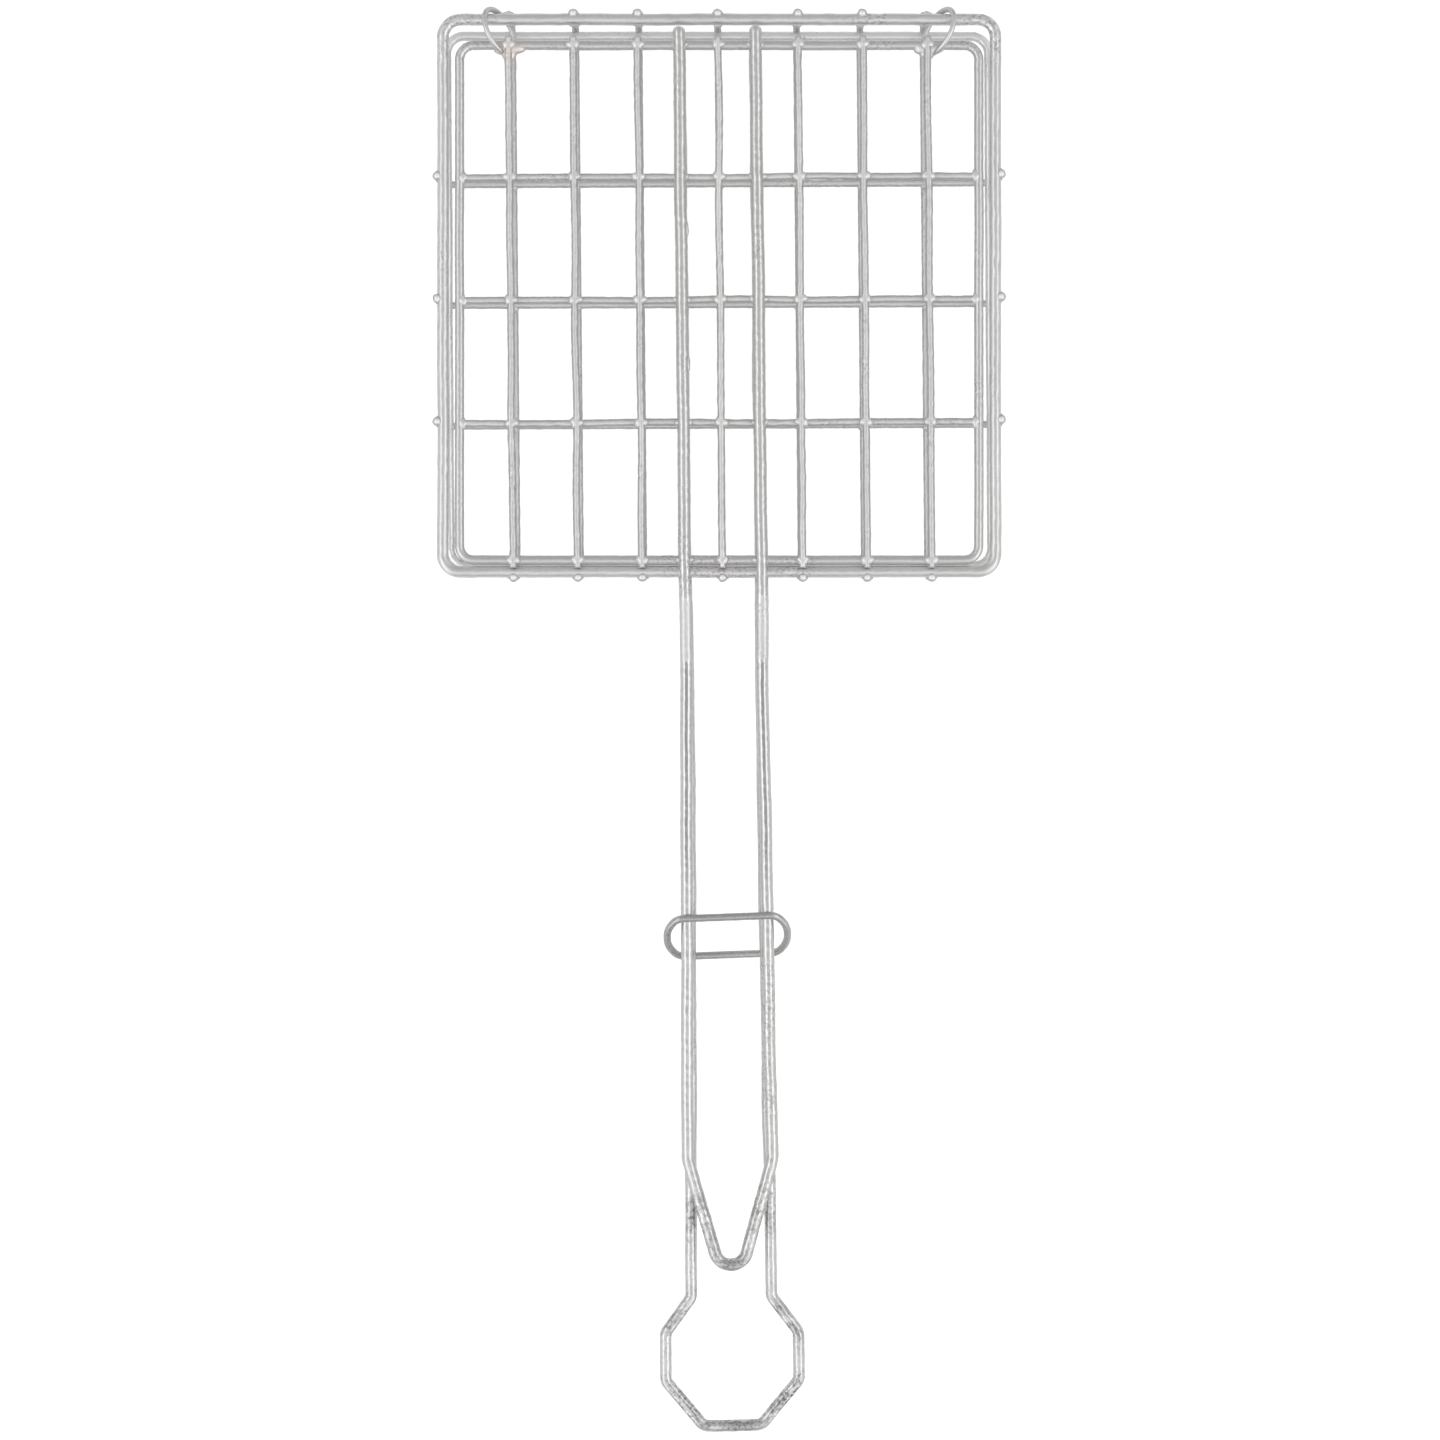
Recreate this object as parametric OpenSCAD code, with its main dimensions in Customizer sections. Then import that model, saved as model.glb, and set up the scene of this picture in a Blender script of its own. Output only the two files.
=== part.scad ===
// Sandwich grill grid: a shallow basket of welded steel wire, a flat lid of
// the same wire that nests in its rim, two loose wire rings that hinge the lid
// on the rim's far wire, a long double wire handle on each half, and an oval
// clip that slides along both handles and holds them together.
//
// The origin is the middle of the whole length on the plane that the grid
// rests on. +Y is the hinge side, the handles point to -Y, and +Z is up.
// Lengths along the grid are given from the middle of the basket.

/* [Wire] */
// Diameter of the rim's wire
rim_wire = 5; // [4:0.5:6]
// Diameter of the basket's bottom ring and of the lid's ring
ring_wire = 4; // [3:0.5:5]
// Diameter of the mesh wires
mesh_wire = 3; // [2:0.25:3.5]
// Diameter of both handles' wire
handle_wire = 5; // [4:0.5:6]
// Diameter of the slide clip's wire
clip_wire = 3.2; // [2.5:0.1:4]
// Diameter of the hinge rings' wire
hinge_wire = 2.2; // [1.8:0.1:2.4]
// How deep crossing wires are welded into each other
weld_set = 0.3; // [0.1:0.05:0.35]
// How deep the ends of the lid's cross wires are welded into its ring
butt_set = 0.2; // [0.1:0.05:0.2]
// How deep the upturned ends of the basket's mesh wires are melted onto the rim
end_set = 0.8; // [0.2:0.1:0.8]

/* [Basket] */
// Width of the rim over its outer faces
rim_w = 240; // [230:1:300]
// Length of the rim over its outer faces
rim_l = 240; // [225:1:300]
// Bend radius of the rim's corners, to the middle of its wire
rim_bend = 7.5; // [5:0.5:12]
// Height of the rim's middle above the resting plane
rim_z = 30; // [28:0.5:60]
// How far the bottom ring lies inside the rim at the far and near sides
bottom_inset = 3.4; // [0:0.1:8]
// Bend radius of the mesh wires where they turn up, to the wire's middle
mesh_bend = 4.5; // [4:0.5:8]
// How far the upturned ends of the mesh wires reach above the rim's middle
mesh_end_rise = 1.5; // [-1:0.1:2.4]

/* [Mesh] */
// Distance from the middle long wire to the ones beside it
inner_pitch = 34.1; // [24:0.1:36]
// Distance between the other long wires
outer_pitch = 27.4; // [15:0.1:27.5]
// Distance between the cross wires
cross_pitch = 52.2; // [30:0.1:60]
// How far the middle cross wire lies from the middle of the basket
cross_shift = -1; // [-8:0.1:8]
// How far the lid's cross wires lie from the basket's
lid_cross_shift = -1; // [-3:0.1:3]
// How far the long wires lie beside the basket's middle
mesh_shift = 0.4; // [-0.4:0.1:0.4]
// Degrees that the long wires are out of square
long_lean = 0.5; // [0.3:0.1:0.6]
// Degrees that the cross wires are out of square
cross_lean = 0.2; // [0:0.1:0.6]

/* [Lid] */
// Gap between the rim and the lid's ring at the left and right sides
side_gap = 2.6; // [0.5:0.1:4]
// Gap between the rim and the lid's ring at the near side
near_gap = 0.4; // [0.4:0.1:3]
// Gap between the rim and the lid's ring at the far side
far_gap = 6.8; // [6:0.1:8]
// Bend radius of the lid ring's corners, to the middle of its wire
lid_bend = 6; // [4:0.5:10]
// How far the lid's long wires reach past its ring
long_overhang = 1.5; // [0.5:0.1:1.8]
// Gap between pieces that move past each other
run_gap = 0.3; // [0.3:0.1:0.6]

/* [Handles] */
// Distance between a handle's two legs over the basket
leg_spacing = 32.5; // [26:0.1:40]
// How far the handles' far ends stand back from the rim's outer face
far_end_inset = 6.2; // [6:0.1:20]
// Distance from the basket's middle to where the handles start to crank
crank_start = 129; // [127:0.5:140]
// Length of the crank along the handle
crank_l = 26; // [20:0.5:40]
// Bend radius of the cranks
crank_bend = 10; // [6:0.5:14]
// Height of the lid handle's wire beyond its crank
grip_z = 25; // [22:0.5:32]
// Degrees that the handles are out of square with the basket
handle_lean = 0.65; // [0:0.05:1]
// How far the handles lie beside the basket's middle
handle_shift = 0.4; // [-2:0.1:2]
// Distance from the basket's middle to where the lid handle's tongue begins
tongue_start = 367.6; // [340:0.1:368]
// Distance between the lid handle's legs where the tongue begins
tongue_spacing = 36; // [33:0.1:37]
// Degrees that each leg of the tongue turns inward
tongue_angle = 15.3; // [15.3:0.1:18]
// Radius of the tongue's tip, to the middle of the wire
tongue_tip = 7.2; // [6:0.1:8]

/* [Hanging loop] */
// Distance from the basket's middle to the neck of the loop
neck_y = 427.6; // [427:0.1:460]
// Distance between the basket handle's legs at the neck
neck_spacing = 34.4; // [33:0.1:35]
// Length of the loop from its neck to the middle of its end wire
loop_l = 55.2; // [50:0.1:70]
// Width of the loop between the middles of its wires
loop_w = 57; // [54:0.1:64]
// Length of the slanting part between the neck and the loop's sides
shoulder_l = 15.2; // [14:0.1:18]
// Length of the loop's straight sides
loop_side = 20.8; // [14:0.1:24]
// Length of the straight end of the loop
loop_end = 24.9; // [20:0.1:30]
// Bend radius of the loop's corners
loop_bend = 5; // [4:0.5:7]

/* [Slide clip] */
// Play of the clip at each side of the handles, where they are widest apart
clip_play = 3.6; // [3.4:0.1:5]
// Distance between its long sides, seen from above
clip_reach = 17.2; // [14:0.1:18]
// Play of the clip below the handles
clip_slack = 2.6; // [2.4:0.1:4]
// Degrees that the clip is turned, seen from above
clip_turn = 1.5; // [-2:0.1:2]
// Distance from the basket's middle to the middle of the clip
clip_y = 273.1; // [200:0.1:340]

/* [Hinge rings] */
// Distance from the basket's middle to the middle of each ring
hinge_x = 93.3; // [93.2:0.1:95]
// How far a ring's two legs lie apart along the rim
hinge_spread = 10.6; // [9.6:0.1:10.8]
// How far a ring leans outward along the rim from one turn to the other
hinge_slant = 6.4; // [5.8:0.1:6.6]
// Play of a ring around the rim's wire and the lid's wire
hinge_play = 0.5; // [0.45:0.05:0.7]
// How much higher the ring's oval is than it would be on the rim's wire alone
hinge_rise = 2.7; // [2.6:0.1:3.4]

/* [Hidden] */
$fn = 48;

// Half spans of the upturned mesh wires, which are melted onto the rim's outside
long_span = (rim_l + mesh_wire) / 2 - end_set;
cross_span = (rim_w + mesh_wire) / 2 - end_set;

// Half sizes of the rim and the bottom ring, to the middles of their wires; the
// bottom ring lies under the rim, inside the upturned ends
rim_x = (rim_w - rim_wire) / 2;
rim_y = (rim_l - rim_wire) / 2;
bottom_x = min(rim_x, cross_span - (mesh_wire + ring_wire) / 2 + weld_set);
bottom_y = rim_y - bottom_inset;

// Heights of the basket's wires, stacked from the resting plane: the handle,
// the cross wires on it and the long wires under those
base_handle_z = handle_wire / 2;
cross_z = handle_wire + mesh_wire / 2 - weld_set;
long_z = cross_z - mesh_wire + weld_set;
mesh_top_z = rim_z + mesh_end_rise;

// The bottom ring lies in the bends of the cross wires: its middle is bend_seat
// away from the middle of each bend, and bend_past of that is sideways
bend_seat = mesh_bend - (mesh_wire + ring_wire) / 2 + weld_set;
bend_past = max(0, bottom_x - cross_span + mesh_bend);
bottom_z = cross_z + mesh_bend - sqrt(max(0, bend_seat ^ 2 - bend_past ^ 2));

// Heights of the lid's wires: the handle runs just over the rim, the ring and
// the cross wires hang under it, and the long wires lie on the ring
lid_handle_z = rim_z + (rim_wire + handle_wire) / 2 + run_gap;
lid_top_z = lid_handle_z - handle_wire / 2 + weld_set;
lid_ring_z = lid_top_z - ring_wire / 2;
lid_cross_z = lid_top_z - mesh_wire / 2;
lid_long_z = lid_top_z + mesh_wire / 2 - weld_set;

// Half width of the lid's ring and the places of its near and far wires
lid_x = rim_w / 2 - rim_wire - side_gap - ring_wire / 2;
lid_near = -(rim_l / 2 - rim_wire - near_gap - ring_wire / 2);
lid_far = rim_l / 2 - rim_wire - far_gap - ring_wire / 2;
lid_mid = (lid_near + lid_far) / 2;
lid_half_l = (lid_far - lid_near) / 2;

// The mesh: offsets of the long wires, and of the cross wires from far to near
long_xs = [for (i = [-3:3]) mesh_shift + sign(i) * (inner_pitch + (abs(i) - 1) * outer_pitch)];
cross_ys = [for (i = [1:-1:-1]) cross_shift + i * cross_pitch];

// The handles: the lower one clears the upper one beyond the cranks
crank_end = crank_start + crank_l;
low_grip_z = grip_z - handle_wire - run_gap;
far_end = rim_l / 2 - far_end_inset;
leg_x = leg_spacing / 2;

// The clip: its upper side clears the lid handle and its lower side hangs
// below the basket handle, so the plane through them is tilted
clip_top_z = grip_z + (handle_wire + clip_wire) / 2 + run_gap;
clip_low_z = low_grip_z - (handle_wire + clip_wire) / 2 - run_gap - clip_slack;
clip_half = norm([clip_reach, clip_top_z - clip_low_z]) / 2;
clip_tilt = atan2(clip_top_z - clip_low_z, clip_reach);

// The clip in its own plane: each end is half of an oval that starts over the
// handles' legs, where they are widest apart. A quarter of the oval is two
// bends, whose corners are those of the octagon drawn round it.
clip_nose = clip_play + (handle_wire + clip_wire) / 2;
clip_x = max(leg_spacing, neck_spacing, tongue_spacing) / 2 + clip_nose;
octagon = tan(22.5);
shoulder_turn = atan2(clip_half, clip_nose);
shoulder_bend = octagon * clip_nose / tan(shoulder_turn / 2);
nose_bend = (1 - octagon) / 2 * norm([clip_nose, clip_half]) / tan((90 - shoulder_turn) / 2);

// The hinge rings: half height and half length of the oval that a ring makes
// in a side view, round the rim's far wire and the lid's far wire
ring_clear = hinge_wire / 2 + hinge_play;
hinge_far = rim_y + rim_wire / 2 + ring_clear;
hinge_near = lid_far - ring_wire / 2 - ring_clear;
hinge_mid = (hinge_far + hinge_near) / 2;
hinge_half_l = (hinge_far - hinge_near) / 2;
hinge_z = (rim_z + lid_ring_z) / 2;
hinge_half_h = rim_wire / 2 + ring_clear + hinge_rise;
hinge_steps = 36;
hinge_sides = 12;

// The basket's middle, ahead of the middle of the whole length
far_reach = max(long_span + mesh_wire / 2, hinge_far + hinge_wire / 2);
basket_y = (neck_y + loop_l + handle_wire / 2 - far_reach) / 2;

// How much thicker a wire is in a bend, and how far its straights run into it
bend_swell = 0.02;
bend_lap = 0.2;

// How far the rim reaches into the hollow that it leaves in a melted wire end
melt_lap = 0.05;

// A unit vector along v
function unit(v) = v / norm(v);

// A unit vector square to w
function square_to(w) = unit(cross(w, abs(w.z) < 0.9 ? [0, 0, 1] : [1, 0, 0]));

// A placing matrix with its origin at o and the unit axes x, y and z
function placed(o, x, y, z) =
    [[x.x, y.x, z.x, o.x], [x.y, y.y, z.y, o.y], [x.z, y.z, z.z, o.z], [0, 0, 0, 1]];

// Length of straight wire that a bend of radius r takes up at the corner q
function corner_cut(p, q, s, r) =
    let (turn = acos(max(-1, min(1, unit(q - p) * unit(s - q))))) r * tan(turn / 2);

// A list of points, then the same points mirrored in X in reverse order
function looped(pts) =
    concat(pts, [for (i = [len(pts) - 1:-1:0]) [-pts[i].x, pts[i].y, pts[i].z]]);

// A straight round wire of diameter d from p to q
module rod(p, q, d) {
    w = unit(q - p);
    u = square_to(w);
    multmatrix(placed(p, u, cross(w, u), w))
        cylinder(h = norm(q - p), d = d);
}

// A bend of radius r in a wire of diameter d that runs from p past q to s; the
// wire swells a little where it is bent, so the bend takes in the straights
module bend(p, q, s, r, d) {
    into = unit(q - p);
    out = unit(s - q);
    axis = unit(cross(into, out));
    turn = acos(into * out);
    start = q - into * r * tan(turn / 2);
    side = cross(axis, into);
    multmatrix(placed(start + side * r, -side, into, axis))
        rotate_extrude(angle = turn)
            translate([r, 0])
                circle(d = d + bend_swell);
}

// A bent wire of diameter d through the points, with bends of the given radii
module bent_wire(pts, radii, d, closed = false) {
    n = len(pts);
    bent = [for (i = [0:n - 1]) closed || (i > 0 && i < n - 1)];
    cuts = [for (i = [0:n - 1]) bent[i]
        ? corner_cut(pts[(i + n - 1) % n], pts[i], pts[(i + 1) % n], radii[i]) - bend_lap
        : 0];
    for (i = [0:closed ? n - 1 : n - 2]) {
        j = (i + 1) % n;
        w = unit(pts[j] - pts[i]);
        rod(pts[i] + w * cuts[i], pts[j] - w * cuts[j], d);
    }
    for (i = [0:n - 1])
        if (bent[i])
            bend(pts[(i + n - 1) % n], pts[i], pts[(i + 1) % n], radii[i], d);
}

// A closed ring of wire of diameter d, 2 half_x wide and 2 half_y long between
// its middles, with corners of radius r
module wire_ring(half_x, half_y, r, d) {
    bent_wire(
        [[half_x, half_y, 0], [-half_x, half_y, 0], [-half_x, -half_y, 0], [half_x, -half_y, 0]],
        [r, r, r, r], d, closed = true);
}

// A basket mesh wire: it runs under the basket along Y at the height z, turns
// up at both ends and ends outside the rim, melted onto it
module upturned_wire(span, z) {
    rim_at = span + end_set - (mesh_wire + rim_wire) / 2;
    difference() {
        bent_wire(
            [[0, span, mesh_top_z], [0, span, z], [0, -span, z], [0, -span, mesh_top_z]],
            [0, mesh_bend, mesh_bend, 0], mesh_wire);
        for (side = [-1, 1])
            rod([-mesh_wire, side * rim_at, rim_z], [mesh_wire, side * rim_at, rim_z],
                rim_wire - 2 * melt_lap);
    }
}

// A piece placed by its distance from the middle of the basket
module from_basket(x = 0, y = 0, z = 0) {
    translate([x, basket_y + y, z])
        children();
}

// A handle's path as drawn, placed askew on the basket
module on_handle_axis() {
    from_basket(handle_shift)
        rotate([0, 0, handle_lean])
            children();
}

// The basket's rim, which the lid's hinge rings turn on
module rim_ring() {
    color([0.78, 0.78, 0.78])
        from_basket(z = rim_z)
            wire_ring(rim_x, rim_y, rim_bend, rim_wire);
}

// The ring that stiffens the basket's bottom
module bottom_ring() {
    color([0.72, 0.72, 0.72])
        from_basket(z = bottom_z)
            wire_ring(bottom_x, bottom_y, rim_bend, ring_wire);
}

// Long wire i of the basket, from 1 at the left to 7 at the right
module basket_long_wire(i) {
    color([0.75, 0.75, 0.76])
        from_basket(long_xs[i - 1])
            rotate([0, 0, long_lean])
                upturned_wire(long_span, long_z);
}

// Cross wire i of the basket, from 1 at the far side to 3 at the near side
module basket_cross_wire(i) {
    color([0.74, 0.74, 0.75])
        from_basket(y = cross_ys[i - 1])
            rotate([0, 0, cross_lean - 90])
                upturned_wire(cross_span, cross_z);
}

// The lower handle: under the basket, up through its crank, and round the loop
module basket_handle() {
    loop_far = neck_y + shoulder_l;
    half = [
        [-leg_x, far_end, base_handle_z],
        [-leg_x, -crank_start, base_handle_z],
        [-leg_x, -crank_end, low_grip_z],
        [-neck_spacing / 2, -neck_y, low_grip_z],
        [-loop_w / 2, -loop_far, low_grip_z],
        [-loop_w / 2, -loop_far - loop_side, low_grip_z],
        [-loop_end / 2, -neck_y - loop_l, low_grip_z]
    ];
    bends = [0, crank_bend, crank_bend, loop_bend, loop_bend, loop_bend, loop_bend];
    color([0.80, 0.80, 0.81])
        on_handle_axis()
            bent_wire(looped(half), concat(bends, [for (i = [6:-1:0]) bends[i]]), handle_wire);
}

// The ring of the lid, which nests in the rim
module lid_ring() {
    color([0.76, 0.76, 0.76])
        from_basket(0, lid_mid, lid_ring_z)
            wire_ring(lid_x, lid_half_l, lid_bend, ring_wire);
}

// Long wire i of the lid, from 1 at the left to 7 at the right
module lid_long_wire(i) {
    reach = lid_half_l + ring_wire / 2 + long_overhang;
    color([0.79, 0.79, 0.80])
        from_basket(long_xs[i - 1], lid_mid, lid_long_z)
            rotate([0, 0, long_lean])
                rod([0, -reach, 0], [0, reach, 0], mesh_wire);
}

// Cross wire i of the lid, from 1 at the far side to 3 at the near side
module lid_cross_wire(i) {
    reach = lid_x - ring_wire / 2 + butt_set;
    color([0.78, 0.78, 0.79])
        from_basket(0, cross_ys[i - 1] + lid_cross_shift, lid_cross_z)
            rotate([0, 0, cross_lean])
                rod([-reach, 0, 0], [reach, 0, 0], mesh_wire);
}

// The upper handle: over the lid, down through its crank, and into the tongue
module lid_handle() {
    apex = tongue_start + tongue_spacing / 2 / tan(tongue_angle);
    path = [
        [-leg_x, far_end, lid_handle_z],
        [-leg_x, -crank_start, lid_handle_z],
        [-leg_x, -crank_end, grip_z],
        [-tongue_spacing / 2, -tongue_start, grip_z],
        [0, -apex, grip_z],
        [tongue_spacing / 2, -tongue_start, grip_z],
        [leg_x, -crank_end, grip_z],
        [leg_x, -crank_start, lid_handle_z],
        [leg_x, far_end, lid_handle_z]
    ];
    bends = [0, crank_bend, crank_bend, crank_bend, tongue_tip, crank_bend, crank_bend, crank_bend, 0];
    color([0.82, 0.82, 0.83])
        on_handle_axis()
            bent_wire(path, bends, handle_wire);
}

// A hinge ring on the side given by -1 for left and 1 for right. Its middle
// line is the plane oval o + a cos t + b sin t, and a round section is carried
// along it as rings of points.
module hinge_ring(side) {
    o = [side * hinge_x, hinge_mid, hinge_z];
    a = [side * hinge_slant / 2, hinge_half_l, 0];
    b = [side * hinge_spread / 2, 0, hinge_half_h];
    up = unit(cross(a, b));
    points = [for (i = [0:hinge_steps - 1])
        let (t = 360 * i / hinge_steps,
             along = unit(b * cos(t) - a * sin(t)),
             out = cross(along, up))
        for (j = [0:hinge_sides - 1])
            let (s = 360 * j / hinge_sides)
            o + a * cos(t) + b * sin(t) + (out * cos(s) + up * sin(s)) * hinge_wire / 2];
    faces = [for (i = [0:hinge_steps - 1])
        for (j = [0:hinge_sides - 1])
            let (i2 = (i + 1) % hinge_steps, j2 = (j + 1) % hinge_sides,
                 p = i * hinge_sides + j, q = i * hinge_sides + j2,
                 r = i2 * hinge_sides + j2, s = i2 * hinge_sides + j)
            each [[p, q, r], [p, r, s]]];
    color([0.70, 0.69, 0.68])
        from_basket()
            polyhedron(points, faces);
}

module hinge_ring_left() {
    hinge_ring(-1);
}

module hinge_ring_right() {
    hinge_ring(1);
}

// The oval clip round both handles, tilted so that its far side lies over
// them and its near side under them
module slide_clip() {
    shoulder_x = clip_x - clip_nose * (1 - octagon);
    half = [
        [-shoulder_x, clip_half, 0],
        [-clip_x, octagon * clip_half, 0],
        [-clip_x, -octagon * clip_half, 0],
        [-shoulder_x, -clip_half, 0]
    ];
    bends = [shoulder_bend, nose_bend, nose_bend, shoulder_bend];
    color([0.62, 0.62, 0.63])
        on_handle_axis()
            translate([0, -clip_y, (clip_top_z + clip_low_z) / 2])
                rotate([0, 0, clip_turn])
                    rotate([clip_tilt, 0, 0])
                        bent_wire(looped(half), concat(bends, bends), clip_wire, closed = true);
}

rim_ring();
bottom_ring();
basket_long_wire(1);  // basket_long_wire_1
basket_long_wire(2);  // basket_long_wire_2
basket_long_wire(3);  // basket_long_wire_3
basket_long_wire(4);  // basket_long_wire_4
basket_long_wire(5);  // basket_long_wire_5
basket_long_wire(6);  // basket_long_wire_6
basket_long_wire(7);  // basket_long_wire_7
basket_cross_wire(1);  // basket_cross_wire_1
basket_cross_wire(2);  // basket_cross_wire_2
basket_cross_wire(3);  // basket_cross_wire_3
basket_handle();
lid_ring();
lid_long_wire(1);  // lid_long_wire_1
lid_long_wire(2);  // lid_long_wire_2
lid_long_wire(3);  // lid_long_wire_3
lid_long_wire(4);  // lid_long_wire_4
lid_long_wire(5);  // lid_long_wire_5
lid_long_wire(6);  // lid_long_wire_6
lid_long_wire(7);  // lid_long_wire_7
lid_cross_wire(1);  // lid_cross_wire_1
lid_cross_wire(2);  // lid_cross_wire_2
lid_cross_wire(3);  // lid_cross_wire_3
lid_handle();
hinge_ring_left();
hinge_ring_right();
slide_clip();
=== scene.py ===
"""Looks of a sandwich grill grid: a hinged double grid of plated steel wire.

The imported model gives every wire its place. Each wire is drawn again here as a
smooth round tube along the same middle line, with the marks that drawing, bending
and plating leave in it. Welds are added where wires cross. Lengths are in metres,
and a value written as a number of millimetres is multiplied by MM.
"""

from __future__ import annotations

import logging
import math
from dataclasses import dataclass, field
from enum import Enum
from typing import Any, Sequence

import bpy
import numpy as np
from mathutils import Matrix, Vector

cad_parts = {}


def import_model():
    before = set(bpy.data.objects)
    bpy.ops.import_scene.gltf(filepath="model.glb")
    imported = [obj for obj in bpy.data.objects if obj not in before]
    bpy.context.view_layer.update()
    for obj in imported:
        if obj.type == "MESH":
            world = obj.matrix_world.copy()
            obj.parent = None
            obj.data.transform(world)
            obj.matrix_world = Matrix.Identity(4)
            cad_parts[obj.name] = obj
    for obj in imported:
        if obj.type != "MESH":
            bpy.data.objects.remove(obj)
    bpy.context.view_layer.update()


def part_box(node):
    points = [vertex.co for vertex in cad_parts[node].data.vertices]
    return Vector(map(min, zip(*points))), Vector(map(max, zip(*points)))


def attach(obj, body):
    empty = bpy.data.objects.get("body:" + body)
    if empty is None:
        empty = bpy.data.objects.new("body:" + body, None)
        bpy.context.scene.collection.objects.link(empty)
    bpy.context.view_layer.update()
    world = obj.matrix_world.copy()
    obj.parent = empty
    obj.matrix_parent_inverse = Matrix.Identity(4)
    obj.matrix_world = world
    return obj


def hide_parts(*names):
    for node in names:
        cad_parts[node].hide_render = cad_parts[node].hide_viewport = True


MM = 0.001
IMAGE_SIDE = 1440
UNROLLED = "unrolled"
LOG = logging.getLogger("grill_grid")

UP = np.array([0.0, 0.0, 1.0])


class Signal:
    """One number that varies over a surface, carried by a shader socket."""

    def __init__(self, shade: "Shade", socket: Any) -> None:
        """Wraps a socket of the tree that shade builds."""
        self.shade = shade
        self.socket = socket

    def _with(self, operation: str, first: Any, second: Any) -> "Signal":
        """Returns the result of a Math node on two values."""
        made = self.shade.node("ShaderNodeMath", {"operation": operation}, {0: first, 1: second})
        return Signal(self.shade, made.outputs[0])

    def __add__(self, other: Any) -> "Signal":
        """Returns self + other."""
        return self._with("ADD", self, other)

    def __radd__(self, other: Any) -> "Signal":
        """Returns other + self."""
        return self._with("ADD", other, self)

    def __sub__(self, other: Any) -> "Signal":
        """Returns self - other."""
        return self._with("SUBTRACT", self, other)

    def __rsub__(self, other: Any) -> "Signal":
        """Returns other - self."""
        return self._with("SUBTRACT", other, self)

    def __mul__(self, other: Any) -> "Signal":
        """Returns self * other."""
        return self._with("MULTIPLY", self, other)

    def __rmul__(self, other: Any) -> "Signal":
        """Returns other * self."""
        return self._with("MULTIPLY", other, self)

    def above(self, low: float, high: float) -> "Signal":
        """Returns a smooth step that is 0 below low and 1 above high."""
        made = self.shade.node(
            "ShaderNodeMapRange",
            {"interpolation_type": "SMOOTHSTEP"},
            {"Value": self, "From Min": low, "From Max": high},
        )
        return Signal(self.shade, made.outputs[0])

    def at_most(self, other: Any) -> "Signal":
        """Returns the smaller of self and other."""
        return self._with("MINIMUM", self, other)

    def at_least(self, other: Any) -> "Signal":
        """Returns the larger of self and other."""
        return self._with("MAXIMUM", self, other)


class Shade:
    """Builds one node tree."""

    def __init__(self, tree: bpy.types.NodeTree) -> None:
        """Empties the tree, so that every node in it is made here."""
        self.tree = tree
        tree.nodes.clear()

    def node(self, kind: str, settings: dict[str, Any], inputs: dict[Any, Any]) -> bpy.types.Node:
        """Adds one node.

        Args:
            kind: the node's type name.
            settings: its own settings, which are set before its sockets.
            inputs: a value, a Signal or a socket for each input, by name or number.

        Returns:
            The new node.
        """
        made = self.tree.nodes.new(kind)
        for name, value in settings.items():
            setattr(made, name, value)
        for key, value in inputs.items():
            socket = made.inputs[key]
            if isinstance(value, Signal):
                self.tree.links.new(value.socket, socket)
            elif isinstance(value, bpy.types.NodeSocket):
                self.tree.links.new(value, socket)
            else:
                socket.default_value = value
        return made

    def noise(self, vector: Any, scale: float, detail: float) -> Signal:
        """Returns fractal noise about 0.5, with features one scale-th of a metre wide."""
        made = self.node(
            "ShaderNodeTexNoise", {}, {"Vector": vector, "Scale": scale, "Detail": detail}
        )
        return Signal(self, made.outputs[0])

    def scaled(self, vector: Any, factors: tuple[float, float, float]) -> Any:
        """Returns the vector multiplied by a factor for each axis."""
        made = self.node("ShaderNodeVectorMath", {"operation": "MULTIPLY"}, {0: vector, 1: factors})
        return made.outputs[0]

    def near(self, vector: Any, place: tuple[float, float, float], reach: float) -> Signal:
        """Returns 1 at a place, falling smoothly to 0 at the distance reach from it."""
        made = self.node("ShaderNodeVectorMath", {"operation": "DISTANCE"}, {0: vector, 1: place})
        return 1.0 - Signal(self, made.outputs["Value"]).above(reach * 0.2, reach)

    def mixed(self, factor: Any, first: Any, second: Any, blend: str = "MIX") -> Any:
        """Returns the colour socket of a mix of two colours."""
        made = self.tree.nodes.new("ShaderNodeMix")
        made.data_type = "RGBA"
        made.blend_type = blend
        sockets = {s.identifier: s for s in made.inputs}
        for key, value in (("Factor_Float", factor), ("A_Color", first), ("B_Color", second)):
            if isinstance(value, Signal):
                self.tree.links.new(value.socket, sockets[key])
            elif isinstance(value, bpy.types.NodeSocket):
                self.tree.links.new(value, sockets[key])
            else:
                sockets[key].default_value = value
        return next(s for s in made.outputs if s.identifier == "Result_Color")


Colour = tuple[float, float, float, float]
Place = tuple[float, float, float]


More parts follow.
